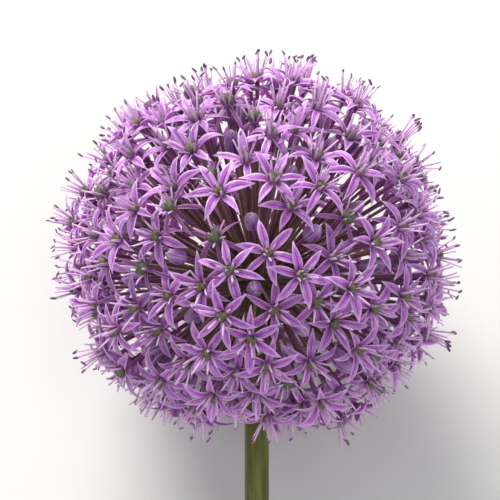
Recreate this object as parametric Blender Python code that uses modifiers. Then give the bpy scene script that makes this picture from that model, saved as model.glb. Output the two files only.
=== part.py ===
"""Allium flower head: a round umbel of starry flowers, picked with a length of its scape and laid down.

Each flower stands on a pedicel of its own, and all the pedicels grow from the dome that ends the scape.
An allium umbel is built of small cymes, so a node is one cyme: its foot on the dome, and the open flowers
and buds that share it. The plant is modelled upright about the middle of the dome, then an empty lays it
down on the side on which it rests without rolling. Metres, +Z up, resting on the plane z = 0.
"""

import math
import random

import bmesh
import bpy
import numpy as np
from mathutils import Matrix, Vector

MM = 0.001
SEED = 11

# The scape, upright, with the middle of its dome at the plant's origin
SCAPE_RADIUS = 3.3 * MM
SCAPE_LENGTH = 110 * MM
SCAPE_SIDES = 14
DOME_RADIUS = 5.6 * MM
DOME_RINGS = 6
CUT_BEVEL = 0.4 * MM

# The globe of flowers, whose middle is higher than the dome's
FLOWERS = 292
CYMES = 54
GLOBE_RISE = 7.5 * MM
OPEN_RADIUS = 45.2 * MM
OPEN_SPREAD = 3.0 * MM
BUD_RADIUS = 40.5 * MM
BUD_SPREAD = 2.0 * MM
BUD_SHARE = 0.34  # of the flowers that are no nearer than this to a bud
BUD_SPACING = 12.5 * MM
LOWEST_POLAR = math.radians(160)
GOLDEN_ANGLE = math.pi * (3 - math.sqrt(5))
WANDER = 0.022  # spread of a flower's direction about its place on the spiral, in radians
NARROWEST = 0.2  # sine of the polar angle below which the azimuth strays no farther
SPACING = 7.2 * MM  # seats stand at least this far apart, if that many tries will do it
TRIES = 30

# The foot of a cyme, a short peg that stands off the dome by the gap
GAP = 0.3 * MM
LOWEST_FOOT_POLAR = math.radians(116)
FOOT_HEIGHT = 1.8 * MM
FOOT_RADII = (0.85 * MM, 1.3 * MM)
FOOT_SIDES = 7
FOOT_REACH = 2.8 * MM
FOOT_SPREAD = 0.75 * MM

# A pedicel, and the open flower on it
PEDICEL_RADII = (0.32 * MM, 0.62 * MM)
TEPALS = 6
TEPAL_LENGTH = 8.8 * MM
NOTCH_RADIUS = 2.0 * MM
BACK_DEPTH = 1.5 * MM
STAMENS_RADIUS = 1.5 * MM
STAMENS_FOOT = 0.9 * MM
STAMENS_HEIGHT = 8.6 * MM
TEPAL_THICKNESS = 0.9 * MM
TIP_THICKNESS = 0.22 * MM
LEANS = (math.radians(-24), math.radians(14))
TEPAL_LIFTS = [math.radians(lift) for lift in (0, 14, -14, 28, -28, 42, 56, -42, 70)]
TEPAL_SHARES = (1.0, 0.85, 0.7, 0.55)
TWISTS = 6

# How the room round a tepal is measured: how far away a neighbour can matter, and where along the tepal
NEIGHBOURHOOD = 60 * MM
STEPS_ALONG = np.linspace(0.2, 1, 8)

# A closed bud
BUD_HALF_LENGTH = 4.0 * MM
BUD_HALF_WIDTH = 2.3 * MM

# Two points of a Screw nearer than this become one
MERGE_DISTANCE = 0.01 * MM

# Colour and roughness
VIOLET = (0.36, 0.14, 0.42, 1)
OLIVE = (0.10, 0.12, 0.03, 1)
FLOWER_ROUGHNESS = 0.55
SCAPE_ROUGHNESS = 0.5


def empty_scene():
    for item in list(bpy.data.objects):
        bpy.data.objects.remove(item)


def direction(polar, azimuth):
    return Vector(
        (
            math.sin(polar) * math.cos(azimuth),
            math.sin(polar) * math.sin(azimuth),
            math.cos(polar),
        )
    )


def spiral(count, lowest):
    """Polar angle and azimuth of directions that share the area from straight up to `lowest` evenly."""
    share = (1 - math.cos(lowest)) / count
    return [(math.acos(1 - share * (i + 0.5)), i * GOLDEN_ANGLE) for i in range(count)]


class Flower:
    """An open flower or a bud: where its seat is, which way it looks and where its tepals end."""

    def __init__(self, seat, is_bud):
        self.seat = seat
        self.is_bud = is_bud

    def stand_on(self, start):
        """Runs the pedicel from `start` and points the flower along it."""
        self.start = start
        self.axis = (self.seat - start).normalized()
        self.side = self.axis.orthogonal().normalized()
        self.front = self.axis.cross(self.side)

    def at(self, angle, radius, height):
        around = math.cos(angle) * self.side + math.sin(angle) * self.front
        return self.seat + radius * around + height * self.axis

    def tip(self, angle, lift, length):
        return self.at(angle, length * math.cos(lift), length * math.sin(lift))


def cyme_directions():
    return [direction(*angles) for angles in spiral(CYMES, LOWEST_POLAR)]


def on_dome(outward):
    """Where on the dome the growth towards `outward` starts: all of it is clear of the scape below."""
    squeeze = (1 - math.cos(LOWEST_FOOT_POLAR)) / (1 - math.cos(LOWEST_POLAR))
    polar = math.acos(max(1 - squeeze * (1 - outward.z), -1))
    return direction(polar, math.atan2(outward.y, outward.x))


def foot_matrix(toward):
    """The place of a cyme's foot: it stands on the dome and leans the way that its flowers go."""
    start = on_dome(toward)
    turn = (start + toward).to_track_quat("Z", "Y").to_matrix().to_4x4()
    lift = GAP + FOOT_RADII[0] * math.sin(start.angle(start + toward))
    return Matrix.Translation(start * (DOME_RADIUS + lift)) @ turn


def find_seat(rng, polar, azimuth, is_bud, seats):
    """A seat that strays a little from its place on the spiral, but not up to one of the other seats."""
    radius, spread = (BUD_RADIUS, BUD_SPREAD) if is_bud else (OPEN_RADIUS, OPEN_SPREAD)
    found = []
    for _ in range(TRIES):
        aside = rng.gauss(0, WANDER) / max(math.sin(polar), NARROWEST)
        outward = direction(polar + rng.gauss(0, WANDER), azimuth + aside)
        seat = outward * (radius + rng.uniform(-spread, spread)) + Vector((0, 0, GLOBE_RISE))
        room = min(((seat - other).length for other in seats), default=math.inf)
        found.append((room, seat))
        if room > SPACING:
            break
    return max(found, key=lambda pair: pair[0])[1]


def grow_cymes():
    """A list of the flowers of each cyme, each flower given to the cyme that looks its way."""
    rng = random.Random(SEED)
    towards = cyme_directions()
    cymes = [[] for _ in towards]
    seats, buds = [], []
    for polar, azimuth in spiral(FLOWERS, LOWEST_POLAR):
        place = direction(polar, azimuth) * BUD_RADIUS + Vector((0, 0, GLOBE_RISE))
        is_bud = rng.random() < BUD_SHARE and all((place - bud).length > BUD_SPACING for bud in buds)
        seat = find_seat(rng, polar, azimuth, is_bud, seats)
        seats.append(seat)
        if is_bud:
            buds.append(seat)
        outward = (seat - Vector((0, 0, GLOBE_RISE))).normalized()
        nearest = max(range(CYMES), key=lambda c: towards[c].dot(outward))
        aside = FOOT_REACH * (on_dome(outward) - on_dome(towards[nearest]))
        aside.length = min(aside.length, FOOT_SPREAD)
        flower = Flower(seat, is_bud)
        flower.stand_on(foot_matrix(towards[nearest]) @ Vector((0, 0, FOOT_HEIGHT / 2)) + aside)
        cymes[nearest].append(flower)
    return cymes


class Obstacles:
    """Tapered rods that stand for what is already in place, to keep the tepals clear of it."""

    def __init__(self):
        self.rods = []

    def add(self, owner, start, end, start_radius, end_radius):
        self.rods.append((*start, *end, start_radius, end_radius, owner))

    def clearance(self, owner, start, end, start_radius, end_radius):
        """The least gap between a tapered rod and those of every other owner."""
        rods = np.array(self.rods)
        near = np.linalg.norm(rods[:, 3:6] - np.array(end), axis=1) < NEIGHBOURHOOD
        rods = rods[near & (rods[:, 8] != owner)]
        if not len(rods):
            return math.inf
        foot, along = rods[:, 0:3], rods[:, 3:6] - rods[:, 0:3]
        least = math.inf
        for step in STEPS_ALONG:
            point = np.array(start) * (1 - step) + np.array(end) * step
            share = ((point - foot) * along).sum(axis=1) / (along**2).sum(axis=1)
            share = np.clip(share, 0, 1)
            gap = np.linalg.norm(point - foot - share[:, None] * along, axis=1)
            gap -= rods[:, 6] * (1 - share) + rods[:, 7] * share
            least = min(least, gap.min() - start_radius * (1 - step) - end_radius * step)
        return least


def spread_tepals(cymes):
    """Turns each open flower and lifts or shortens its tepals until they clear the neighbours."""
    rng = random.Random(SEED + 1)
    flowers = [flower for cyme in cymes for flower in cyme]
    placed = Obstacles()
    for number, flower in enumerate(flowers):
        placed.add(number, flower.start, flower.seat, *PEDICEL_RADII)
        half = BUD_HALF_LENGTH * flower.axis
        if flower.is_bud:
            placed.add(number, flower.seat - half, flower.seat + half, BUD_HALF_WIDTH, BUD_HALF_WIDTH / 2)
        else:
            back, crown = flower.at(0, 0, -BACK_DEPTH), flower.at(0, 0, STAMENS_FOOT)
            placed.add(number, back, crown, NOTCH_RADIUS, NOTCH_RADIUS)
            placed.add(number, crown, flower.at(0, 0, STAMENS_HEIGHT), STAMENS_RADIUS, 0)
    thickness = (TEPAL_THICKNESS, TIP_THICKNESS)
    for number, flower in enumerate(flowers):
        flower.twist = rng.uniform(0, math.pi)
        flower.tips = []
        if flower.is_bud:
            continue
        lean = rng.uniform(*LEANS)

        def room(angle, lift, share):
            tip = flower.tip(angle, lean + lift, TEPAL_LENGTH * share)
            return placed.clearance(number, flower.seat, tip, *thickness)

        def room_in_all(twist):
            around = [twist + k * math.tau / TEPALS for k in range(TEPALS)]
            return sum(min(room(angle, 0, 1), TEPAL_THICKNESS) for angle in around)

        turns = [flower.twist + t * math.tau / TEPALS / TWISTS for t in range(TWISTS)]
        flower.twist = max(turns, key=room_in_all)
        for k in range(TEPALS):
            angle = flower.twist + k * math.tau / TEPALS
            ways = [(lift, share) for share in TEPAL_SHARES for lift in TEPAL_LIFTS]
            way = next((way for way in ways if room(angle, *way) > GAP), None)
            way = way or max(ways, key=lambda way: room(angle, *way))
            tip = flower.tip(angle, lean + way[0], TEPAL_LENGTH * way[1])
            placed.add(number, flower.seat, tip, *thickness)
            flower.tips.append(tip)


def loft(bm, small, big):
    """Faces between two rings, the second with as many points as the first or a multiple of it."""
    step = len(big) // len(small)
    for k, corner in enumerate(small):
        first = k * step - step // 2
        for j in range(first, first + step):
            bm.faces.new((corner, big[j % len(big)], big[(j + 1) % len(big)]))
        last = big[(first + step) % len(big)]
        bm.faces.new((corner, last, small[(k + 1) % len(small)]))


def ring(bm, flower, count, radius, height, foot=None):
    turned = [flower.twist + k * math.tau / count for k in range(count)]
    shift = foot - flower.seat if foot else Vector()
    return [bm.verts.new(flower.at(angle, radius, height) + shift) for angle in turned]


def add_pedicel(bm, flower, top_depth):
    """A three-sided stalk, and the ring at its top end that the flower goes on from."""
    foot = ring(bm, flower, 3, PEDICEL_RADII[0], 0, flower.start)
    top = ring(bm, flower, 3, PEDICEL_RADII[1], -top_depth)
    bm.faces.new(foot[::-1])
    loft(bm, foot, top)
    return top


def add_open_flower(bm, flower):
    """Six tepals as a star, and the ovary and stamens as the point that stands in it."""
    top = add_pedicel(bm, flower, BACK_DEPTH)
    star = []
    for k, tip in enumerate(flower.tips):
        star.append(bm.verts.new(tip))
        notch = flower.twist + (k + 0.5) * math.tau / TEPALS
        star.append(bm.verts.new(flower.at(notch, NOTCH_RADIUS, 0)))
    loft(bm, top, star)
    crown = ring(bm, flower, 3, STAMENS_RADIUS, STAMENS_FOOT)
    before = set(bm.faces)
    loft(bm, crown, star)
    bmesh.ops.reverse_faces(bm, faces=[face for face in bm.faces if face not in before])
    close_with_point(bm, crown, flower.at(0, 0, STAMENS_HEIGHT))


def add_bud(bm, flower):
    top = add_pedicel(bm, flower, BUD_HALF_LENGTH)
    belly = ring(bm, flower, TEPALS, BUD_HALF_WIDTH, 0)
    loft(bm, top, belly)
    close_with_point(bm, belly, flower.at(0, 0, BUD_HALF_LENGTH))


def close_with_point(bm, rim, place):
    point = bm.verts.new(place)
    for k, corner in enumerate(rim):
        bm.faces.new((corner, rim[(k + 1) % len(rim)], point))


def foot_mesh(foot):
    bm = bmesh.new()
    bmesh.ops.create_cone(
        bm,
        cap_ends=True,
        segments=FOOT_SIDES,
        radius1=FOOT_RADII[0],
        radius2=FOOT_RADII[1],
        depth=FOOT_HEIGHT,
        matrix=foot @ Matrix.Translation((0, 0, FOOT_HEIGHT / 2)),
    )
    return finished(bm, "foot")


def flower_mesh(flower):
    bm = bmesh.new()
    (add_bud if flower.is_bud else add_open_flower)(bm, flower)
    bmesh.ops.recalc_face_normals(bm, faces=bm.faces)
    return finished(bm, "flower")


def finished(bm, name):
    mesh = bpy.data.meshes.new(name)
    bm.to_mesh(mesh)
    bm.free()
    return mesh


def placed_object(name, mesh, collection):
    item = bpy.data.objects.new(name, mesh)
    collection.objects.link(item)
    return item


def paint(item, colour, roughness):
    material = bpy.data.materials.new(item.name + "_finish")
    material.use_nodes = True
    shader = material.node_tree.nodes["Principled BSDF"]
    shader.inputs["Base Color"].default_value = colour
    shader.inputs["Roughness"].default_value = roughness
    shader.inputs["Metallic"].default_value = 0
    item.data.materials.append(material)


def evaluated_mesh(item):
    graph = bpy.context.evaluated_depsgraph_get()
    return bpy.data.meshes.new_from_object(item.evaluated_get(graph))


def make_cyme(name, toward, flowers, plant, collection):
    """The foot and its flowers, joined into one body."""
    foot = foot_matrix(toward)
    peg = placed_object(name + "_peg", foot_mesh(foot), collection)
    grown = [placed_object(name + "_flower", flower_mesh(flower), collection) for flower in flowers]
    for item in grown:
        join = peg.modifiers.new("join", "BOOLEAN")
        join.operation = "UNION"
        join.solver = "EXACT"
        join.object = item
    mesh = evaluated_mesh(peg)
    for item in (peg, *grown):
        bpy.data.objects.remove(item)
    mesh.transform(foot.inverted())
    cyme = placed_object(name, mesh, collection)
    cyme.parent = plant
    cyme.matrix_local = foot
    paint(cyme, VIOLET, FLOWER_ROUGHNESS)
    return cyme


def scape_profile():
    """Points (radius, height) from the top of the dome down the outside to the middle of the cut."""
    widest = math.pi - math.asin(SCAPE_RADIUS / DOME_RADIUS)
    turns = [widest * k / DOME_RINGS for k in range(DOME_RINGS + 1)]
    dome = [(DOME_RADIUS * math.sin(turn), DOME_RADIUS * math.cos(turn)) for turn in turns]
    return [
        *dome,
        (SCAPE_RADIUS, CUT_BEVEL - SCAPE_LENGTH),
        (SCAPE_RADIUS - CUT_BEVEL, -SCAPE_LENGTH),
        (0, -SCAPE_LENGTH),
    ]


def make_scape(plant, collection):
    """The stalk of the whole umbel, turned, with the dome that the pedicels grow from on top."""
    bm = bmesh.new()
    line = [bm.verts.new((radius, 0, height)) for radius, height in scape_profile()]
    for upper, lower in zip(line, line[1:]):
        bm.edges.new((upper, lower))
    scape = placed_object("scape", finished(bm, "scape"), collection)
    screw = scape.modifiers.new("turn", "SCREW")
    screw.steps = screw.render_steps = SCAPE_SIDES
    screw.use_merge_vertices = True
    screw.merge_threshold = MERGE_DISTANCE
    scape.parent = plant
    paint(scape, OLIVE, SCAPE_ROUGHNESS)
    return scape


def plant_triangles(pieces):
    """The corners of every triangle, as an array of N x 3 points, before the plant is laid down."""
    found = []
    for piece in pieces:
        mesh = evaluated_mesh(piece)
        mesh.transform(piece.matrix_local)
        mesh.calc_loop_triangles()
        points = np.array([vertex.co for vertex in mesh.vertices])
        found.append(points[np.array([t.vertices for t in mesh.loop_triangles])])
        bpy.data.meshes.remove(mesh)
    return np.concatenate(found)


def centre_of_mass(triangles):
    a, b, c = triangles[:, 0], triangles[:, 1], triangles[:, 2]
    volumes = np.einsum("ij,ij->i", a, np.cross(b, c))
    return Vector(((a + b + c) * volumes[:, None]).sum(axis=0) / 4 / volumes.sum())


def resting_face(triangles, centre):
    """The hull's face with the cut end on it that the weight falls most safely within."""
    bm = bmesh.new()
    for point in np.unique(np.round(triangles.reshape(-1, 3), 7), axis=0):
        bm.verts.new(point)
    bmesh.ops.convex_hull(bm, input=list(bm.verts))
    best, widest = None, 0
    for face in bm.faces:
        corners = [vertex.co.copy() for vertex in face.verts]
        if min(corner.z for corner in corners) > 2 * CUT_BEVEL - SCAPE_LENGTH:
            continue
        outward = face.normal.copy()
        if outward.dot(corners[0] - centre) < 0:
            outward.negate()
            corners.reverse()
        sides = zip(corners, corners[1:] + corners[:1])
        margin = min(outward.cross(end - start).normalized().dot(centre - start) for start, end in sides)
        if margin > widest:
            best, widest = outward, margin
    bm.free()
    return best


def lay_down(plant, pieces):
    """Turns the plant to rest on its side, the umbel towards +Y, centred over the origin."""
    triangles = plant_triangles(pieces)
    down = resting_face(triangles, centre_of_mass(triangles))
    ahead = (Vector((0, 0, 1)) - down.z * down).normalized()
    turn = Matrix((ahead.cross(-down), ahead, -down))
    points = triangles.reshape(-1, 3) @ np.array(turn).T
    low, high = points.min(axis=0), points.max(axis=0)
    middle = (low + high) / 2
    plant.matrix_world = Matrix.Translation((-middle[0], -middle[1], -low[2])) @ turn.to_4x4()


def main():
    empty_scene()
    collection = bpy.data.collections.new("allium_flower_head")
    bpy.context.scene.collection.children.link(collection)
    plant = placed_object("plant", None, collection)
    cymes = grow_cymes()
    spread_tepals(cymes)
    pieces = [make_scape(plant, collection)]
    for number, (toward, flowers) in enumerate(zip(cyme_directions(), cymes), start=1):
        pieces.append(make_cyme(f"flower_cyme_{number:02d}", toward, flowers, plant, collection))
    lay_down(plant, pieces)


main()
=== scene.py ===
"""Allium flower head, picked and laid on its side: the finished flowers, their stalks and the scape.

The CAD model says where each flower stands, which way it looks and where its tepals end. This add-on
reads that, models one of each organ along the X axis, and bends a copy of it into every place that a
flower has for it.
"""

import math
import random

import bmesh
import bpy
import numpy as np
from bpy.props import FloatProperty, FloatVectorProperty, PointerProperty
from bpy.types import Operator, Panel, PropertyGroup
from mathutils import Matrix, Vector


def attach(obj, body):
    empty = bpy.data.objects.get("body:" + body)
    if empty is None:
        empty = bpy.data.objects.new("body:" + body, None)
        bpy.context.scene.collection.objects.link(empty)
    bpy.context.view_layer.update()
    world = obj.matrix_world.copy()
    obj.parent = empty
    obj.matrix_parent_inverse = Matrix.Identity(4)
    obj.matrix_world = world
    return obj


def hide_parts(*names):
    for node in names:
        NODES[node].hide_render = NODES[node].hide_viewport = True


bl_info = {
    "name": "Allium Flower Head",
    "version": (1, 0, 0),
    "blender": (4, 5, 0),
    "location": "3D View > Sidebar > Allium",
    "description": "Models the flower head of an ornamental onion, organ by organ",
    "category": "Object",
}

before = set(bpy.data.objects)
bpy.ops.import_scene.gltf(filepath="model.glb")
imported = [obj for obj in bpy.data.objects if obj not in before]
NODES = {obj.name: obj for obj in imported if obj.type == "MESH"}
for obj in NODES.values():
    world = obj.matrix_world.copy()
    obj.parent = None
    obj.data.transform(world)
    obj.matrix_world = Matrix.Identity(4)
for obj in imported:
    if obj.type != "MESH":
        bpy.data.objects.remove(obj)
CYMES = sorted(name for name in NODES if name.startswith("flower_cyme"))
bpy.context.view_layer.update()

MM = 0.001
TEPALS = 6
LOBES = 3

# The CAD model's flowers: by these lengths the corners of each are known
MERGE_DISTANCE = 0.01 * MM
CLOSE = 0.05 * MM
HUB_HEIGHT = 0.9 * MM  # of the ring that the spike stands on, above the seat
SPIKE = 7.7 * MM
TIP_REACH = 8.8 * MM
BUD_HALF_LENGTH = 4.0 * MM
BUD_NEIGHBOURS = 4  # the apex of a bud and the three corners of the pedicel below its belly
RIM_WIDTH = 0.1 * MM  # corners less than this nearer to the dome's top than the farthest are the cut's rim

# Ages run from 0, just open, to 1, spent
OVER = 0.8
SHARE_OVER = 0.1


# The plant as the CAD model has it


def merged(name):
    """The surface of a CAD node with its loose triangles joined."""
    bm = bmesh.new()
    bm.from_mesh(NODES[name].data)
    bmesh.ops.remove_doubles(bm, verts=bm.verts, dist=MERGE_DISTANCE)
    bm.verts.index_update()
    return bm


def beside(corners, known):
    """The corners one edge away from these, apart from the known ones, always in the same order."""
    found = {edge.other_vert(corner) for corner in corners for edge in corner.link_edges} - set(known)
    return sorted(found, key=lambda corner: corner.index)


def middle(corners):
    return sum((corner.co for corner in corners), Vector()) / len(corners)


class Flower:
    """An open flower or a bud: its seat on the pedicel, its axis and its tepals' tips from the seat."""

    def __init__(self, cyme, seat, apex):
        self.cyme = cyme
        self.seat = seat
        self.axis = (apex - seat).normalized()
        self.side = self.axis.orthogonal().normalized()
        self.front = self.axis.cross(self.side)
        self.tips = []
        self.is_bud = True

    def open_out(self, corners, first):
        """Finds the tips of the six tepals among the corners, the first tepal at this angle.

        A tip that is hidden in a neighbour is put where the lift of the others says.
        """
        self.is_bud = False
        ways = [corner.co - self.seat for corner in corners]
        ends = [way for way in ways if abs(way.length - TIP_REACH) < CLOSE]
        lift = sum(way.dot(self.axis) for way in ends) / max(len(ends), 1)
        for number in range(TEPALS):
            out = self.out(first + number * math.tau / TEPALS)
            across = out.cross(self.axis)
            near = [way for way in ends if way.dot(out) > 0 and abs(way.dot(across)) < CLOSE]
            tip = near[0] if near else math.sqrt(TIP_REACH**2 - lift**2) * out + lift * self.axis
            self.tips.append(tip)

    def is_over(self):
        return self.age > OVER

    def angle(self, way):
        return math.atan2(way.dot(self.front), way.dot(self.side))

    def out(self, angle):
        return math.cos(angle) * self.side + math.sin(angle) * self.front

    def at(self, angle, radius, height):
        return self.seat + radius * self.out(angle) + height * self.axis

    def chance(self, organ):
        """Random numbers that are this flower's own, whatever else is grown before it."""
        return random.Random(f"{organ} {self.number}")


def read_flowers(name):
    """Finds the spike of each flower, or the tip of each bud, and walks down from it."""
    bm = merged(name)
    found = []
    for apex in bm.verts:
        crown = beside([apex], ())
        hub = middle(crown)
        down = hub - apex.co
        if len(crown) == TEPALS // 2 and abs(down.length - SPIKE) < CLOSE:
            flower = Flower(name, hub + HUB_HEIGHT / SPIKE * down, apex.co.copy())
            flower.open_out(bm.verts, flower.angle(crown[0].co - hub))
            found.append(flower)
        elif len(crown) == TEPALS and abs(down.length - BUD_HALF_LENGTH) < CLOSE:
            if len(beside(crown, crown)) == BUD_NEIGHBOURS:
                found.append(Flower(name, hub, apex.co.copy()))
    bm.free()
    if not found:
        raise RuntimeError(f"{name} holds no flower")
    return sorted(found, key=lambda flower: tuple(flower.seat))


def read_scape():
    """The middle of the cut end, and the top of the dome at the other end, which is towards +Y."""
    bm = merged("scape")
    top = max(bm.verts, key=lambda corner: (corner.co.y > 0, len(corner.link_edges))).co.copy()
    farthest = max((corner.co - top).length for corner in bm.verts)
    rim = [corner for corner in bm.verts if (corner.co - top).length > farthest - RIM_WIDTH]
    end = middle(rim)
    bm.free()
    return end, top


FLOWERS = [flower for name in CYMES for flower in read_flowers(name)]
SCAPE_END, DOME_TOP = read_scape()
UP = (DOME_TOP - SCAPE_END).normalized()
for number, one in enumerate(FLOWERS):
    one.number = number


def give_ages():
    """The youngest flowers stand at the top of the globe, and some that are over are anywhere."""
    for flower in FLOWERS:
        chance = flower.chance("age")
        youth = 0.5 + 0.5 * flower.axis.dot(UP)
        flower.age = min(0.75, max(0, chance.gauss(0.5 - 0.25 * youth, 0.2)))
        if chance.random() < SHARE_OVER:
            flower.age = chance.uniform(0.85, 1)


# Settings


def length(name, description, millimetres):
    return FloatProperty(
        name=name, description=description, default=millimetres * MM, min=0, unit="LENGTH", precision=5
    )


def angle(name, description, degrees):
    return FloatProperty(
        name=name, description=description, default=math.radians(degrees), subtype="ANGLE"
    )


def colour(name, description, value):
    return FloatVectorProperty(
        name=name, description=description, default=value, size=3, min=0, max=1, subtype="COLOR"
    )


class AlliumTepalSettings(PropertyGroup):
    width: length("Width", "Widest part of a tepal of an open flower", 2.2)
    thickness: length("Thickness", "Thickness of a tepal", 0.15)
    cup: length("Cup", "How far the margins stand above the middle", 0.42)
    arch: angle("Arch", "How steeply a tepal rises from the flower's middle", 30)
    curl: angle("Curl", "How far its end turns down", 34)
    twist: angle("Twist", "Most that a tepal twists from base to tip", 38)
    bud_width: length("Bud tepal width", "Widest part of a tepal of a bud", 3.4)
    base_colour: colour("Base colour", "Next to the ovary", (0.25, 0.045, 0.26))
    blade_colour: colour("Blade colour", "Over most of the tepal", (0.46, 0.15, 0.56))
    # Partly the margins' own paleness, partly a painted highlight where light catches the thin edges and
    # tips
    pale_tip_and_highlight_colour: colour("Tip colour", "At the margins and the tip", (0.84, 0.53, 0.90))
    vein_colour: colour("Vein colour", "Midvein and side veins", (0.16, 0.022, 0.20))
    spent_colour: colour("Spent colour", "Of a flower that is over", (0.24, 0.09, 0.20))


class AlliumStamenSettings(PropertyGroup):
    length: length("Filament length", "From the flower's middle to the anther", 7.8)
    width: length("Filament width", "Of the flattened base", 1.1)
    anther_length: length("Anther length", "Of an anther that is still closed", 2.1)
    filament_colour: colour("Filament colour", "At the upper end", (0.76, 0.50, 0.80))
    foot_colour: colour("Filament foot colour", "At the lower end", (0.36, 0.10, 0.38))
    anther_colour: colour("Anther colour", "Of a closed anther", (0.20, 0.085, 0.20))
    pollen_colour: colour("Pollen colour", "Of an open, dusty anther", (0.50, 0.42, 0.36))


class AlliumPistilSettings(PropertyGroup):
    width: length("Ovary width", "Across its lobes", 3.1)
    height: length("Ovary height", "From seat to crown", 2.3)
    style_length: length("Style length", "From the ovary's crown to the stigma", 3.2)
    ovary_colour: colour("Ovary colour", "On the lobes", (0.25, 0.25, 0.12))
    groove_colour: colour("Groove colour", "Between the lobes", (0.075, 0.035, 0.045))
    ripe_colour: colour("Ripe colour", "Of a spent flower's ovary", (0.13, 0.18, 0.085))


class AlliumStalkSettings(PropertyGroup):
    pedicel_width: length("Pedicel width", "Of a flower's stalk", 0.95)
    bow: length("Bow", "How far a pedicel strays from a straight line", 0.8)
    dark_colour: colour("Pedicel shade", "Darker colour of the pedicels", (0.12, 0.022, 0.04))
    warm_colour: colour("Pedicel colour", "Lighter colour of the pedicels", (0.36, 0.215, 0.145))
    scape_width: length("Scape width", "Of the main stalk", 6.3)
    dome_width: length("Dome width", "Of the dome that carries the pedicels", 11.2)
    scape_colour: colour("Scape colour", "Main stalk", (0.085, 0.088, 0.009))
    bloom_colour: colour("Bloom colour", "Pale wax on the main stalk", (0.15, 0.165, 0.028))
    pith_colour: colour("Pith colour", "In the cut", (0.50, 0.53, 0.32))


class AlliumStageSettings(PropertyGroup):
    floor_colour: colour("Floor colour", "Of the plain floor", (0.72, 0.71, 0.68))
    distance: FloatProperty(
        name="Distance", description="From the camera to the globe's middle", default=0.7, unit="LENGTH"
    )
    picture_width: FloatProperty(
        name="Picture width",
        description="Width of what the camera takes in at the globe's middle",
        default=0.13,
        unit="LENGTH",
    )
    key_power: FloatProperty(
        name="Key light", description="Power of the main light", default=19, unit="POWER"
    )
    fill_power: FloatProperty(
        name="Fill light", description="Power of the light by the camera", default=2.6, unit="POWER"
    )
    sky: FloatProperty(name="Sky", description="Strength of the light from all round", default=0.55)
    grain: FloatProperty(name="Grain", description="Fineness of the floor's grain", default=63)


# Modelling tools


def one_active(item):
    bpy.ops.object.select_all(action="DESELECT")
    item.select_set(True)
    bpy.context.view_layer.objects.active = item


def pick(item, test):
    """Selects the corners of the item in edit mode that pass the test, and no others."""
    bpy.ops.mesh.select_mode(type="VERT")
    bpy.ops.mesh.select_all(action="DESELECT")
    bm = bmesh.from_edit_mesh(item.data)
    for corner in bm.verts:
        corner.select = test(corner.co)
    bm.select_flush_mode()
    bmesh.update_edit_mesh(item.data)


def edit(item):
    one_active(item)
    bpy.ops.object.mode_set(mode="EDIT")


def edited():
    bpy.ops.mesh.select_all(action="SELECT")
    bpy.ops.mesh.normals_make_consistent(inside=False)
    bpy.ops.object.mode_set(mode="OBJECT")


def mark_places(item, place):
    """Gives each corner the place on the organ that its finish reads: (along, across or around)."""
    marks = item.data.attributes.new("place", "FLOAT_VECTOR", "POINT").data
    for corner, mark in zip(item.data.vertices, marks):
        mark.vector = place(corner.co)


def around_axis(point):
    """Place on a stalk: how far along, and the direction from its axis."""
    away = Vector((point.y, point.z))
    away = away.normalized() if away.length > 1e-9 else away
    return point.x, away.x, away.y


def drawn_out(name, sides, stations):
    """A round organ along X: a disc extruded from station to station, each (along, width, depth)."""
    bpy.ops.object.select_all(action="DESELECT")
    along, width, depth = stations[0]
    bpy.ops.mesh.primitive_circle_add(
        vertices=sides, radius=0.5, fill_type="NGON", location=(along, 0, 0), rotation=(0, math.pi / 2, 0)
    )
    item = bpy.context.active_object
    item.name = name
    bpy.ops.object.transform_apply(location=True, rotation=True, scale=True)
    edit(item)
    bpy.ops.mesh.select_all(action="SELECT")
    bpy.ops.transform.resize(value=(1, width, depth), center_override=(along, 0, 0))
    for last, this in zip(stations, stations[1:]):
        bpy.ops.mesh.extrude_region_move(TRANSFORM_OT_translate={"value": (this[0] - last[0], 0, 0)})
        wider = (1, this[1] / last[1], this[2] / last[2])
        bpy.ops.transform.resize(value=wider, center_override=(this[0], 0, 0))
    edited()
    mark_places(item, around_axis)
    return item


def round_stations(width, shares):
    """Stations for a round organ that is as wide as these shares of the width."""
    return [(along, share * width, share * width) for along, share in shares]


def ball(name, segments, rings, width, depth):
    """A rounded organ along X, from 0 to 1, left in edit mode to be shaped."""
    bpy.ops.object.select_all(action="DESELECT")
    bpy.ops.mesh.primitive_uv_sphere_add(
        segments=segments, ring_count=rings, radius=0.5, rotation=(0, math.pi / 2, 0)
    )
    item = bpy.context.active_object
    item.name = name
    bpy.ops.object.transform_apply(location=True, rotation=True, scale=True)
    edit(item)
    bpy.ops.mesh.select_all(action="SELECT")
    bpy.ops.transform.translate(value=(0.5, 0, 0))
    bpy.ops.transform.resize(value=(1, width, depth), center_override=(0, 0, 0))
    return item


def is_towards(point, degrees):
    """Whether a point lies this way from the X axis, give or take 10 degrees."""
    way = math.degrees(math.atan2(point.z, point.y))
    return abs((way - degrees + 180) % 360 - 180) < 10


# Organs, each modelled once


TEPAL_OUTLINE = (0.46, 0.74, 0.93, 1.0, 0.97, 0.85, 0.62, 0.32, 0.05)  # widths from base to tip
KEEL = 0.10 * MM  # how far the crease along the midvein stands out below


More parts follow.
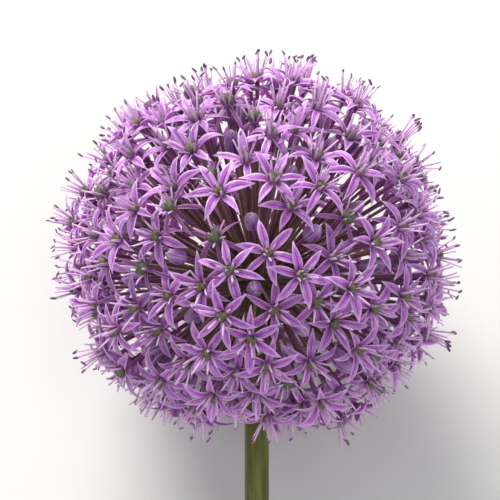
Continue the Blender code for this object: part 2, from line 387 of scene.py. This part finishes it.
def model_tepal(look):
    """A narrow blade, pointed at its end and creased along the midvein."""
    bpy.ops.object.select_all(action="DESELECT")
    rows = len(TEPAL_OUTLINE) - 1
    bpy.ops.mesh.primitive_grid_add(x_subdivisions=rows, y_subdivisions=4, size=1, location=(0.5, 0, 0))
    item = bpy.context.active_object
    item.name = "tepal"
    bpy.ops.object.transform_apply(location=True)
    mark_places(item, lambda point: (point.x, 2 * point.y, 0))
    edit(item)
    bpy.ops.mesh.select_all(action="SELECT")
    bpy.ops.transform.resize(value=(1, look.width, 1))
    pick(item, lambda point: abs(point.y) < look.width / 10)
    bpy.ops.transform.translate(value=(0, 0, -KEEL))
    for row, share in enumerate(TEPAL_OUTLINE):
        pick(item, lambda point: abs(point.x - row / rows) < 0.3 / rows)
        bpy.ops.transform.resize(value=(1, share, share))
    edited()
    solid = item.modifiers.new("thickness", "SOLIDIFY")
    solid.thickness = look.thickness
    solid.offset = 0
    bpy.ops.object.modifier_apply(modifier=solid.name)
    return item


def model_filament(look):
    """Flat and broad at its foot, thin as a thread at the anther."""
    wide = look.width
    stations = [
        (0, wide, wide / 3),
        (0.12, 0.9 * wide, wide / 3),
        (0.35, 0.65 * wide, wide / 3),
        (0.65, 0.55 * wide, 0.35 * wide),
        (1, 0.38 * wide, 0.3 * wide),
    ]
    return drawn_out("filament", 6, stations)


def model_anther(look):
    """Two pollen sacs side by side: a bean with a furrow along both of its faces."""
    wide = 0.42 * look.anther_length
    item = ball("anther", 8, 6, wide, 0.8 * wide)
    for face in (90, 270):
        pick(item, lambda point: is_towards(point, face) and 0.05 < point.x < 0.95)
        bpy.ops.transform.resize(value=(1, 1, 0.55), center_override=(0, 0, 0))
    edited()
    mark_places(item, around_axis)
    return item


CROWN_DENT = 0.18  # how deep the style's foot sits in the ovary, as a share of its height


def model_ovary(look):
    """Three lobes with a deep groove between them and a dent along the back of each."""
    item = ball("ovary", 12, 8, look.width, look.width)
    for lobe in range(LOBES):
        back = 360 / LOBES * lobe
        groove = back + 180 / LOBES
        pick(item, lambda point: is_towards(point, groove) and 0.02 < point.x < 0.98)
        bpy.ops.transform.resize(value=(1, 0.6, 0.6), center_override=(0, 0, 0))
        pick(item, lambda point: is_towards(point, back) and point.x > 0.4)
        bpy.ops.transform.resize(value=(1, 0.84, 0.84), center_override=(0, 0, 0))
    pick(item, lambda point: point.x > 0.99)
    bpy.ops.transform.translate(value=(-CROWN_DENT, 0, 0))
    edited()
    mark_places(item, around_axis)
    return item


def model_style(look):
    """A thread, thicker at its foot and at the stigma."""
    thin = 0.09 * look.width
    return drawn_out("style", 5, round_stations(thin, [(0, 2), (0.2, 1), (0.9, 1), (1, 1.6)]))


def model_pedicel(look):
    """A thin stalk that widens towards the flower, and most of all just under it."""
    low = [(0, 0.95), (0.06, 0.8), (0.22, 0.85), (0.4, 0.9)]
    high = [(0.58, 0.95), (0.76, 1), (0.93, 1.05), (1, 1.6)]
    return drawn_out("pedicel", 7, round_stations(look.pedicel_width, low + high))


CUT_RIM = 0.002  # where the rounded edge of the cut ends, as a share of the scape's height
CUT_DEPTH = 1 * MM
CUT_SHARE = 0.95  # of the scape's radius is pith in the cut
STALK_STEPS = 13
DOME_STEPS = 9


def model_scape(look, height):
    """The main stalk from the hollow of its cut, up the outside, and over the dome."""
    wide, dome = look.scape_width, look.dome_width
    stations = round_stations(wide, [(0.003, 0.62), (0.001, 0.8), (0, 0.93), (CUT_RIM, 1.0)])
    start = 1 - dome / height
    neck = start + (dome - math.sqrt(dome**2 - wide**2)) / 2 / height
    for step in range(1, STALK_STEPS + 1):
        stations.append((CUT_RIM + (neck - CUT_RIM) * step / STALK_STEPS, wide, wide))
    first = math.asin(wide / dome)
    for step in range(1, DOME_STEPS):
        turn = first + (math.pi - first) * step / DOME_STEPS
        width = dome * math.sin(turn)
        stations.append((start + dome / height * (1 - math.cos(turn)) / 2, width, width))
    return drawn_out("scape_stalk", 28, stations)


# Copies, bent into place


class Organ:
    """The points, faces and places of an organ that was modelled once."""

    def __init__(self, item):
        mesh = item.data
        self.points = np.array([corner.co for corner in mesh.vertices])
        self.places = np.array([mark.vector for mark in mesh.attributes["place"].data])
        self.faces = [tuple(face.vertices) for face in mesh.polygons]
        bpy.data.objects.remove(item)
        bpy.data.meshes.remove(mesh)


def bent(organ, controls, sideways, twist=0, width=1, depth=1, cup=0):
    """The organ's points with its X axis laid along a cubic curve, turned by `twist` on the way."""
    along = organ.points[:, 0:1]
    a, b, c, d = (np.array(control) for control in controls)
    rest = 1 - along
    spine = rest**3 * a + 3 * rest**2 * along * b + 3 * rest * along**2 * c + along**3 * d
    ahead = rest**2 * (b - a) + 2 * rest * along * (c - b) + along**2 * (d - c)
    ahead /= np.linalg.norm(ahead, axis=1, keepdims=True)
    side = np.array(sideways) - (ahead @ np.array(sideways))[:, None] * ahead
    side /= np.linalg.norm(side, axis=1, keepdims=True)
    over = np.cross(ahead, side)
    turn = twist * along
    side, over = np.cos(turn) * side + np.sin(turn) * over, np.cos(turn) * over - np.sin(turn) * side
    raised = organ.points[:, 2:3] * depth + cup * np.sin(np.pi * along) * organ.places[:, 1:2] ** 2
    return spine + organ.points[:, 1:2] * width * side + raised * over


def straight(start, end):
    return [start.lerp(end, share) for share in (0, 1 / 3, 2 / 3, 1)]


PRESS = 0.9 * MM  # what would come lower than this is pressed together above the floor


class Growth:
    """Copies of organs that become one piece, with the values that their finish reads."""

    def __init__(self):
        self.points, self.places, self.tones, self.ages, self.faces = [], [], [], [], []
        self.count = 0

    def add(self, organ, points, tone, age=0):
        self.points.append(points)
        self.places.append(organ.places)
        self.tones.append(np.full(len(points), tone))
        self.ages.append(np.full(len(points), age))
        self.faces += [tuple(self.count + corner for corner in face) for face in organ.faces]
        self.count += len(points)

    def build(self, name, finish, nodes):
        """The piece, which takes the place of the CAD nodes, with its lowest parts pressed together."""
        points = np.concatenate(self.points)
        low = points[:, 2] < PRESS
        points[low, 2] = PRESS * np.exp((points[low, 2] - PRESS) / PRESS)
        mesh = bpy.data.meshes.new(name)
        mesh.from_pydata(points.tolist(), [], self.faces)
        place = mesh.attributes.new("place", "FLOAT_VECTOR", "POINT")
        place.data.foreach_set("vector", np.concatenate(self.places).ravel())
        for label, values in (("tone", self.tones), ("age", self.ages)):
            mesh.attributes.new(label, "FLOAT", "POINT").data.foreach_set("value", np.concatenate(values))
        mesh.materials.append(finish)
        mesh.shade_smooth()
        piece = bpy.data.objects.new(name, mesh)
        bpy.context.scene.collection.objects.link(piece)
        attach(piece, "root")
        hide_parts(*nodes)
        return piece


# Finishes


class Finish:
    """A material, with short ways to put its nodes together."""

    def __init__(self, name, **sockets):
        self.material = bpy.data.materials.new(name)
        self.material.use_nodes = True
        self.tree = self.material.node_tree
        self.shader = self.tree.nodes["Principled BSDF"]
        for socket, value in sockets.items():
            self.plug(self.shader.inputs[socket.replace("_", " ")], value)

    def node(self, kind, *inputs, output=0, **settings):
        """The output of a new node with these inputs, of which None keeps what it has."""
        node = self.tree.nodes.new("ShaderNode" + kind)
        for setting, value in settings.items():
            setattr(node, setting, value)
        for number, value in enumerate(inputs):
            self.plug(node.inputs[number], value)
        return node.outputs[output]

    def plug(self, socket, value):
        if isinstance(value, bpy.types.NodeSocket):
            self.tree.links.new(value, socket)
        elif socket.type == "RGBA":
            socket.default_value = (*value, 1)
        elif value is not None:
            socket.default_value = value

    def math(self, operation, *values):
        return self.node("Math", *values, operation=operation)

    def value(self, attribute):
        return self.node("Attribute", output=2, attribute_name=attribute)

    def place(self, along, across, around, shift=37):
        """The corner's place on its organ, stretched, and shifted for each organ by its tone."""
        vector = self.node("Attribute", output=1, attribute_name="place")
        stretched = self.node("VectorMath", vector, (along, across, around), operation="MULTIPLY")
        aside = self.node("CombineXYZ", self.math("MULTIPLY", self.value("tone"), shift), 0, 0)
        return self.node("VectorMath", stretched, aside, operation="ADD")

    def parts(self):
        """Along and across, as two numbers."""
        vector = self.node("Attribute", output=1, attribute_name="place")
        node = self.node("SeparateXYZ", vector).node
        return node.outputs[0], node.outputs[1]

    def noise(self, vector, scale, detail=3, roughness=0.6):
        return self.node("TexNoise", vector, None, scale, detail, roughness)

    def mix(self, share, first, second):
        """The second colour where the share is 1, and the first where it is 0."""
        node = self.tree.nodes.new("ShaderNodeMix")
        node.data_type = "RGBA"
        for number, value in ((0, share), (6, first), (7, second)):
            self.plug(node.inputs[number], value)
        return node.outputs[2]

    def tinted(self, shade, colour, mask, strength):
        """The shade with some of a colour over it, where the mask is 1."""
        return self.mix(self.math("MULTIPLY", mask, strength), shade, colour)

    def varied(self, shade, darkest, spread):
        """The shade in another brightness for each organ, by its tone."""
        brightness = self.ramp(self.value("tone"), darkest, spread)
        return self.node("HueSaturation", 0.5, 1.0, brightness, 1.0, shade)

    def ramp(self, value, start, spread):
        """From the start where the value is 0, by the spread, to what it is where the value is 1."""
        return self.math("MULTIPLY_ADD", value, spread, start)

    def between(self, value, low, high):
        """0 below low, 1 above high, and smooth from one to the other."""
        node = self.tree.nodes.new("ShaderNodeMapRange")
        node.interpolation_type = "SMOOTHSTEP"
        for number, setting in enumerate((value, low, high, 0, 1)):
            self.plug(node.inputs[number], setting)
        return node.outputs[0]

    def finish(self, colour, bump=None, strength=0.5, depth=0.05, roughness=None):
        """The finished material. The depth of its bump is in millimetres."""
        self.plug(self.shader.inputs["Base Color"], colour)
        if bump is not None:
            node = self.tree.nodes.new("ShaderNodeBump")
            node.inputs["Strength"].default_value = strength
            node.inputs["Distance"].default_value = depth * MM
            self.tree.links.new(bump, node.inputs["Height"])
            self.tree.links.new(node.outputs[0], self.shader.inputs["Normal"])
        if roughness is not None:
            self.plug(self.shader.inputs["Roughness"], roughness)
        return self.material


def petal_finish(name, look, darkest, stripe):
    """Lilac with fine veins, a midvein as strong as `stripe`, and pale margins with a painted highlight.
    """
    paint = Finish(
        name,
        Subsurface_Weight=0.35,
        Subsurface_Radius=(1.0, 0.45, 0.9),
        Subsurface_Scale=1.2 * MM,
        Sheen_Weight=0.25,
        Sheen_Roughness=0.4,
        Sheen_Tint=(1, 0.9, 1),
    )
    along, across = paint.parts()
    away = paint.math("ABSOLUTE", across)
    streaks = paint.noise(paint.place(1.6, 6.5, 0), 1.4, 4, 0.7)
    blotches = paint.noise(paint.place(3, 1.5, 0), 1.2, 2)
    # Margins and tip: partly paler in their own colour, partly a painted highlight where light catches the
    # thin edges
    margin_and_highlight = paint.math("MAXIMUM", paint.between(away, 0.55, 1.0), paint.between(along, 0.62, 1.0))
    midvein = paint.math("MULTIPLY", paint.between(away, 0.24, 0.06), paint.between(along, 1.0, 0.6))
    shade = paint.mix(paint.between(along, 0.02, 0.42), look.base_colour, look.blade_colour)
    shade = paint.tinted(shade, look.pale_tip_and_highlight_colour, margin_and_highlight, 0.75)
    shade = paint.tinted(shade, look.vein_colour, paint.between(streaks, 0.50, 0.68), 0.55)
    shade = paint.tinted(shade, look.vein_colour, midvein, stripe)
    shade = paint.tinted(shade, look.pale_tip_and_highlight_colour, paint.between(blotches, 0.5, 0.75), 0.45)
    shade = paint.tinted(shade, look.spent_colour, paint.between(paint.value("age"), 0.6, 1.0), 0.75)
    shade = paint.varied(shade, darkest, 0.5)
    return paint.finish(shade, streaks, 0.6, 0.14, paint.ramp(streaks, 0.2, 0.3))


def filament_finish(name, look):
    """Pale lilac, purple and darker towards the foot."""
    paint = Finish(name, Subsurface_Weight=0.2, Subsurface_Scale=0.6 * MM, Sheen_Weight=0.2)
    along, _ = paint.parts()
    grain = paint.noise(paint.place(6, 1, 1), 1.5)
    shade = paint.mix(paint.between(along, 0.0, 0.55), look.foot_colour, look.filament_colour)
    shade = paint.tinted(shade, look.foot_colour, paint.between(grain, 0.45, 0.7), 0.4)
    shade = paint.varied(shade, 0.8, 0.4)
    return paint.finish(shade, grain, 0.3, 0.05, paint.ramp(grain, 0.25, 0.3))


def anther_finish(look):
    """Dusky purple, with more pollen on it the older the flower is."""
    paint = Finish("anther_dusk", Sheen_Weight=0.3)
    grain = paint.noise(paint.place(5, 2.5, 2.5), 2.5, 4)
    dust = paint.between(grain, 0.42, 0.62)
    ripeness = paint.between(paint.value("age"), 0.15, 0.8)
    shade = paint.tinted(look.anther_colour, look.pollen_colour, dust, ripeness)
    return paint.finish(shade, grain, 0.8, 0.1, paint.ramp(grain, 0.4, 0.4))


def ovary_finish(look):
    """Olive lobes, warty and a little glossy, with purple between the warts and at the foot."""
    paint = Finish("ovary_olive", Subsurface_Weight=0.1, Subsurface_Scale=0.5 * MM)
    along, _ = paint.parts()
    warts = paint.noise(paint.place(4, 2.2, 2.2), 2.2, 4, 0.7)
    shade = paint.mix(paint.between(paint.value("age"), 0.6, 1.0), look.ovary_colour, look.ripe_colour)
    shade = paint.mix(paint.between(warts, 0.52, 0.36), shade, look.groove_colour)
    shade = paint.tinted(shade, look.groove_colour, paint.between(along, 0.5, 0.0), 0.8)
    return paint.finish(shade, warts, 1.0, 0.4, paint.ramp(warts, 0.22, 0.4))


def pedicel_finish(look, tepals):
    """Maroon over olive brown, streaked lengthwise, turning violet just under the flower."""
    paint = Finish("pedicel_maroon", Sheen_Weight=0.15)
    along, _ = paint.parts()
    streaks = paint.noise(paint.place(7, 1.6, 1.6), 1.3, 4)
    patches = paint.noise(paint.place(0.8, 0.3, 0.3, shift=91), 1.0, 1)
    warmth = paint.ramp(along, patches, -0.25)
    shade = paint.mix(paint.between(warmth, 0.32, 0.55), look.dark_colour, look.warm_colour)
    shade = paint.tinted(shade, look.dark_colour, paint.between(streaks, 0.48, 0.7), 0.6)
    shade = paint.tinted(shade, tepals.base_colour, paint.between(along, 0.6, 1.0), 0.7)
    return paint.finish(shade, streaks, 0.4, 0.08, paint.ramp(streaks, 0.18, 0.3))


def scape_finish(look):
    """Olive green with fine lengthwise lines and a pale waxy bloom."""
    paint = Finish("scape_green", Specular_IOR_Level=0.3)
    lines = paint.noise(paint.place(2.5, 9, 9), 1.6, 4, 0.7)
    bloom = paint.noise(paint.place(5, 1.2, 1.2), 1.4)
    shade = paint.mix(paint.between(bloom, 0.4, 0.7), look.scape_colour, look.bloom_colour)
    shade = paint.tinted(shade, look.scape_colour, paint.between(lines, 0.5, 0.7), 0.45)
    return paint.finish(shade, lines, 0.35, 0.12, paint.ramp(bloom, 0.3, 0.3))


def cut_finish(look):
    """The pale pith of the cut end, spotted with darker cells."""
    paint = Finish("scape_pith", Subsurface_Weight=0.2, Subsurface_Scale=1 * MM)
    cells = paint.noise(paint.place(1, 4, 4), 4, 4)
    shade = paint.mix(paint.between(cells, 0.4, 0.65), look.pith_colour, look.bloom_colour)
    return paint.finish(shade, cells, 0.6, 0.15, paint.ramp(cells, 0.3, 0.3))


# Growing

# Radius and height from the seat at which a tepal and a filament of an open flower start
TEPAL_FOOT = (0.8 * MM, -0.25 * MM)
FILAMENT_FOOT = (1.25 * MM, -0.1 * MM)
OVARY_DEPTH = 0.2 * MM  # below the seat

# The tepal of a bud: heights of its foot, belly, shoulder and tip, and what the inner three have less
BUD_HEIGHTS = (-3.9 * MM, -3.3 * MM, 2.6 * MM, 4.3 * MM)
BUD_FOOT = 0.35 * MM
BUD_BELLY = 2.8 * MM
BUD_CUP = 0.8 * MM
INNER_BELLY = 0.25 * MM
INNER_TIP = 0.3 * MM
INNER_WIDTH = 0.1

# How the stamens change with age, each for a flower just open and one that is spent
FILAMENT_LEANS = (math.radians(8), math.radians(34))
FILAMENT_SHARES = (1, 0.7)
ANTHER_SHARES = (1, 0.5)
ANTHERS_DROPPED = (0.3, 0.95)
FOOT_STEEPER = 0.35  # how much less a filament leans at its foot, in radians

# How deep the pedicels end inside a bud and an open flower, and where they leave the dome
PEDICEL_ENDS = (3.8 * MM, 0.3 * MM)
DOME_LEAVE = 0.6
DOME_ROOT = 0.46


def by_age(flower, values):
    new, spent = values
    return new + (spent - new) * flower.age


def tepal_curve(flower, tip, look, chance):
    """From under the ovary up and out, and over to the tip that the CAD model gives."""
    out = (tip - tip.dot(flower.axis) * flower.axis).normalized()

    def way(lift):
        return math.cos(lift) * out + math.sin(lift) * flower.axis

    lift = math.atan2(tip.dot(flower.axis), tip.dot(out))
    if flower.is_over():
        lift -= math.radians(chance.uniform(20, 60))
        tip = tip.length * way(lift)
    rise = lift + look.arch * chance.uniform(0.2, 1.5)
    fall = lift - look.curl * chance.uniform(0.0, 1.6 + flower.is_over())
    reach = 0.36 * tip.length
    side = flower.axis.cross(out)
    start = flower.seat + TEPAL_FOOT[0] * out + TEPAL_FOOT[1] * flower.axis
    end = flower.seat + tip * chance.uniform(0.95, 1.05)
    astray = side * chance.uniform(-0.6, 0.6) * MM
    return [start, start + reach * way(rise), end - reach * way(fall) + astray, end], side


def tone_near(mood, chance):
    """A tone for one tepal of a flower, most of it the flower's own mood."""
    return 0.7 * mood + 0.3 * chance.random()


def grow_open_tepals(growth, flower, organ, look):
    """Broader and narrower tepals by turns. Those of a flower that is over shrink and twist."""
    chance = flower.chance("tepals")
    shrunk, turns = (0.55, 2.5) if flower.is_over() else (1, 1)
    mood = chance.random()
    for number, tip in enumerate(flower.tips):
        controls, side = tepal_curve(flower, tip, look, chance)
        width = chance.uniform(0.86, 1.14) * shrunk * (0.94, 1.06)[number % 2]
        twist = look.twist * chance.uniform(-1, 1) * turns
        cup = look.cup * chance.uniform(0.3, 1.7)
        points = bent(organ, controls, side, twist, width, 1, cup)
        growth.add(organ, points, tone_near(mood, chance), flower.age)


def grow_bud(growth, flower, organ, look):
    """The same tepals, closed over each other: three outside and three smaller ones inside."""
    chance = flower.chance("bud")
    slack = chance.uniform(0.85, 1.25)
    mood = chance.random()
    low, belly, shoulder, high = BUD_HEIGHTS
    for number in range(TEPALS):
        angle = number * math.tau / TEPALS + chance.gauss(0, 0.05)
        inner = number % 2
        radius = BUD_BELLY - INNER_BELLY * inner
        parting = slack * chance.uniform(-0.2, 0.35) * MM
        controls = [
            flower.at(angle, BUD_FOOT, low),
            flower.at(angle, radius, belly),
            flower.at(angle, 0.8 * radius * slack, shoulder),
            flower.at(angle, parting, high - INNER_TIP * inner),
        ]
        side = flower.axis.cross(flower.out(angle))
        width = look.bud_width / look.width * (1 - INNER_WIDTH * inner)
        points = bent(organ, controls, side, chance.gauss(0, 0.08), width, 1, BUD_CUP)
        growth.add(organ, points, tone_near(mood, chance))


def filament_ends(flower, look):
    """Angle, foot, direction at the foot, direction at the end, and end, of each of the six filaments."""
    chance = flower.chance("stamens")
    lean = by_age(flower, FILAMENT_LEANS) * chance.uniform(0.7, 1.3)
    turn = flower.angle(flower.tips[0])
    ends = []
    for number in range(TEPALS):
        angle = turn + number * math.tau / TEPALS + chance.gauss(0, 0.12)
        own = lean + math.radians(chance.gauss(0, 6))
        reach = look.length * chance.uniform(0.88, 1.06) * by_age(flower, FILAMENT_SHARES)
        foot = flower.at(angle, *FILAMENT_FOOT)
        steep = own - FOOT_STEEPER
        up = math.sin(steep) * flower.out(angle) + math.cos(steep) * flower.axis
        way = math.sin(own) * flower.out(angle) + math.cos(own) * flower.axis
        ends.append((angle, foot, up, way, foot + reach * way))
    return ends


def grow_filaments(growth, flower, organ, look):
    """Filaments start a little steeper than they end, and wilt with age."""
    chance = flower.chance("filaments")
    for angle, foot, up, way, end in filament_ends(flower, look):
        third = (end - foot).length / 3
        wilt = chance.uniform(0, 1.5) * MM * max(0, flower.age - 0.5)
        controls = [foot, foot + third * up, end - third * way + wilt * flower.axis, end]
        side = flower.axis.cross(flower.out(angle))
        growth.add(organ, bent(organ, controls, side), chance.random(), flower.age)


def grow_anthers(growth, flower, organ, look):
    """Anthers balance on the ends of their filaments. The older a flower, the more it has dropped."""
    chance = flower.chance("anthers")
    for *_, way, end in filament_ends(flower, look):
        tilt, roll = chance.uniform(0.1, 1.2), chance.uniform(0, math.tau)
        size = look.anther_length * by_age(flower, ANTHER_SHARES) * chance.uniform(0.85, 1.1)
        dropped = chance.random() < by_age(flower, ANTHERS_DROPPED)
        tone = chance.random()
        if dropped:
            continue
        along = (math.cos(tilt) * way + math.sin(tilt) * flower.out(roll)).normalized()
        half = along * size / 2
        share = size / look.anther_length
        points = bent(organ, straight(end - half, end + half), flower.axis.cross(along), 0, share, share)
        growth.add(organ, points, tone, flower.age)


def grow_ovary(growth, flower, organ, look):
    """An ovary that has swollen if the flower is over, its lobes turned to the gaps between tepals."""
    swell = 1.3 if flower.is_over() else 1 + 0.1 * flower.chance("ovary").uniform(-1, 1)
    start = flower.at(0, 0, -OVARY_DEPTH)
    end = flower.at(0, 0, look.height * swell)
    side = flower.out(flower.angle(flower.tips[0]) + math.pi / TEPALS)
    points = bent(organ, straight(start, end), side, 0, swell, swell)
    growth.add(organ, points, flower.chance("ovary").random(), flower.age)


def grow_style(growth, flower, organ, look):
    """A style that leans a little, out of the middle of the ovary."""
    chance = flower.chance("style")
    start = flower.at(0, 0, 0.7 * look.height)
    lean = 0.8 * MM * chance.uniform(0, 1)
    towards = chance.uniform(0, math.tau)
    end = flower.at(towards, lean, look.height + look.style_length * chance.uniform(0.7, 1.1))
    growth.add(organ, bent(organ, straight(start, end), flower.side), chance.random(), flower.age)


def grow_pedicel(growth, flower, organ, look):
    """From the dome, out past the foot of the cyme, and straight into the flower."""
    chance = flower.chance("pedicel")
    dome = DOME_TOP - look.dome_width / 2 * UP
    top = flower.seat - PEDICEL_ENDS[not flower.is_bud] * flower.axis
    nearest = (flower.seat - dome).dot(flower.axis)
    gap = (flower.seat - dome - nearest * flower.axis).length
    leave = DOME_LEAVE * look.dome_width
    ahead = math.sqrt(max(leave**2 - gap**2, 0))
    start = flower.seat - (nearest - ahead) * flower.axis
    root = dome + (start - dome).normalized() * DOME_ROOT * look.dome_width
    reach = (top - start).length
    stray = flower.out(chance.uniform(0, math.tau)) * look.bow * chance.uniform(-1, 1)
    low = start + 0.15 * reach * flower.axis + stray / 2
    high = top - 0.35 * reach * flower.axis + stray
    width = chance.uniform(0.9, 1.15)
    points = bent(organ, [root, low, high, top], flower.side, 0, width, width)
    growth.add(organ, points, chance.random(), flower.age)


def gathered(name, organ, grow, flowers, look, finish):
    """One piece made of the copies that `grow` adds for each of the flowers."""
    growth = Growth()
    for flower in flowers:
        grow(growth, flower, organ, look)
    return growth.build(name, finish, sorted({flower.cyme for flower in flowers}))


def open_flowers():
    return [flower for flower in FLOWERS if not flower.is_bud]


class ALLIUM_OT_tepals(Operator):
    """Model a tepal and grow it on the open flowers, a piece for each cyme"""

    bl_idname = "allium.tepals"
    bl_label = "Tepals"

    def execute(self, context):
        look = context.scene.allium_tepals
        organ = Organ(model_tepal(look))
        finish = petal_finish("tepal_lilac", look, 0.8, 0.75)
        for name in CYMES:
            flowers = [flower for flower in open_flowers() if flower.cyme == name]
            if flowers:
                label = name.replace("flower_", "") + "_tepals"
                gathered(label, organ, grow_open_tepals, flowers, look, finish)
        return {"FINISHED"}


class ALLIUM_OT_buds(Operator):
    """Close broader tepals over each other into the buds"""

    bl_idname = "allium.buds"
    bl_label = "Buds"

    def execute(self, context):
        look = context.scene.allium_tepals
        organ = Organ(model_tepal(look))
        buds = [flower for flower in FLOWERS if flower.is_bud]
        finish = petal_finish("bud_violet", look, 0.45, 1.0)
        gathered("buds", organ, grow_bud, buds, look, finish)
        return {"FINISHED"}


class ALLIUM_OT_stamens(Operator):
    """Grow six filaments in each open flower, with an anther on each"""

    bl_idname = "allium.stamens"
    bl_label = "Stamens"

    def execute(self, context):
        look = context.scene.allium_stamens
        flowers = open_flowers()
        filament = Organ(model_filament(look))
        lilac = filament_finish("filament_lilac", look)
        gathered("filaments", filament, grow_filaments, flowers, look, lilac)
        anther = Organ(model_anther(look))
        gathered("anthers", anther, grow_anthers, flowers, look, anther_finish(look))
        return {"FINISHED"}


class ALLIUM_OT_pistils(Operator):
    """Set a three-lobed ovary and its style in each open flower"""

    bl_idname = "allium.pistils"
    bl_label = "Pistils"

    def execute(self, context):
        look = context.scene.allium_pistils
        flowers = open_flowers()
        ovary = Organ(model_ovary(look))
        gathered("ovaries", ovary, grow_ovary, flowers, look, ovary_finish(look))
        style = Organ(model_style(look))
        lilac = filament_finish("style_lilac", context.scene.allium_stamens)
        gathered("styles", style, grow_style, flowers, look, lilac)
        return {"FINISHED"}


class ALLIUM_OT_pedicels(Operator):
    """Run a pedicel from the dome to each flower and bud"""

    bl_idname = "allium.pedicels"
    bl_label = "Pedicels"

    def execute(self, context):
        look = context.scene.allium_stalks
        organ = Organ(model_pedicel(look))
        finish = pedicel_finish(look, context.scene.allium_tepals)
        gathered("pedicels", organ, grow_pedicel, FLOWERS, look, finish)
        return {"FINISHED"}


class ALLIUM_OT_scape(Operator):
    """Model the main stalk with its cut end and the dome on top"""

    bl_idname = "allium.scape"
    bl_label = "Scape"

    def execute(self, context):
        look = context.scene.allium_stalks
        height = (DOME_TOP - SCAPE_END).length
        organ = Organ(model_scape(look, height))
        growth = Growth()
        growth.add(organ, bent(organ, straight(SCAPE_END, DOME_TOP), Vector((1, 0, 0))), 0.5)
        piece = growth.build("scape_stalk", scape_finish(look), ["scape"])
        piece.data.materials.append(cut_finish(look))
        for face in piece.data.polygons:
            away = face.center - SCAPE_END
            along = away.dot(UP)
            aside = (away - along * UP).length
            face.material_index = int(along < CUT_DEPTH and aside < CUT_SHARE * look.scape_width / 2)
        return {"FINISHED"}


# Stage


def area_light(name, place, target, size, power, tint):
    data = bpy.data.lights.new(name, "AREA")
    data.shape = "DISK"
    data.size = size
    data.energy = power
    data.color = tint
    light = bpy.data.objects.new(name, data)
    bpy.context.scene.collection.objects.link(light)
    light.location = place
    light.rotation_euler = (target - place).to_track_quat("-Z", "Y").to_euler()


class ALLIUM_OT_stage(Operator):
    """Lay a plain floor, and set the lights and the camera"""

    bl_idname = "allium.stage"
    bl_label = "Stage"

    def execute(self, context):
        look = context.scene.allium_stage
        bpy.ops.object.select_all(action="DESELECT")
        bpy.ops.mesh.primitive_plane_add(size=6)
        floor = context.active_object
        floor.name = "floor"
        paint = Finish("floor_matte", Roughness=0.85)
        grain = paint.noise(paint.node("TexCoord", output=3), look.grain)
        shade = paint.tinted(look.floor_colour, (0.5, 0.5, 0.5), grain, 0.06)
        floor.data.materials.append(paint.finish(shade))
        globe = sum((flower.seat for flower in FLOWERS), Vector()) / len(FLOWERS)
        area_light("key", globe + Vector((-0.35, 0.85, 0.6)), globe, 0.7, look.key_power, (1, 0.98, 0.96))
        area_light("fill", globe + Vector((0.35, -0.6, 0.8)), globe, 0.8, look.fill_power, (0.95, 0.97, 1))
        world = bpy.data.worlds.new("sky")
        world.use_nodes = True
        world.node_tree.nodes["Background"].inputs["Color"].default_value = (0.93, 0.96, 1, 1)
        world.node_tree.nodes["Background"].inputs["Strength"].default_value = look.sky
        context.scene.world = world
        context.scene.view_settings.view_transform = "Standard"
        self.add_camera(context, look, globe)
        return {"FINISHED"}

    def add_camera(self, context, look, globe):
        """Square to the scape, from above, with the globe a little right of the picture's middle."""
        right = Vector((1, 0, 0))
        back = right.cross(UP)
        data = bpy.data.cameras.new("camera")
        data.lens = data.sensor_width * look.distance / look.picture_width
        camera = bpy.data.objects.new("camera", data)
        context.scene.collection.objects.link(camera)
        aim = globe - 0.014 * look.picture_width * right
        turn = Matrix((right, UP, back)).transposed()
        camera.matrix_world = Matrix.Translation(aim + look.distance * back) @ turn.to_4x4()
        context.scene.camera = camera


class ALLIUM_PT_panel(Panel):
    """The steps in the order in which they are run"""

    bl_label = "Allium Flower Head"
    bl_idname = "ALLIUM_PT_panel"
    bl_space_type = "VIEW_3D"
    bl_region_type = "UI"
    bl_category = "Allium"

    def draw(self, context):
        for operator in STEPS:
            self.layout.operator(operator.bl_idname)
        for name, group in SETTINGS.items():
            box = self.layout.box()
            for setting in group.__annotations__:
                box.prop(getattr(context.scene, name), setting)


SETTINGS = {
    "allium_tepals": AlliumTepalSettings,
    "allium_stamens": AlliumStamenSettings,
    "allium_pistils": AlliumPistilSettings,
    "allium_stalks": AlliumStalkSettings,
    "allium_stage": AlliumStageSettings,
}
STEPS = (
    ALLIUM_OT_tepals,
    ALLIUM_OT_buds,
    ALLIUM_OT_stamens,
    ALLIUM_OT_pistils,
    ALLIUM_OT_pedicels,
    ALLIUM_OT_scape,
    ALLIUM_OT_stage,
)


def register():
    for item in (*SETTINGS.values(), *STEPS, ALLIUM_PT_panel):
        bpy.utils.register_class(item)
    for name, group in SETTINGS.items():
        setattr(bpy.types.Scene, name, PointerProperty(type=group))


def unregister():
    for name in SETTINGS:
        delattr(bpy.types.Scene, name)
    for item in reversed((*SETTINGS.values(), *STEPS, ALLIUM_PT_panel)):
        bpy.utils.unregister_class(item)


def main():
    register()
    give_ages()
    bpy.ops.allium.tepals()
    bpy.ops.allium.buds()
    bpy.ops.allium.stamens()
    bpy.ops.allium.pistils()
    bpy.ops.allium.pedicels()
    bpy.ops.allium.scape()
    bpy.ops.allium.stage()


if __name__ == "__main__":
    main()
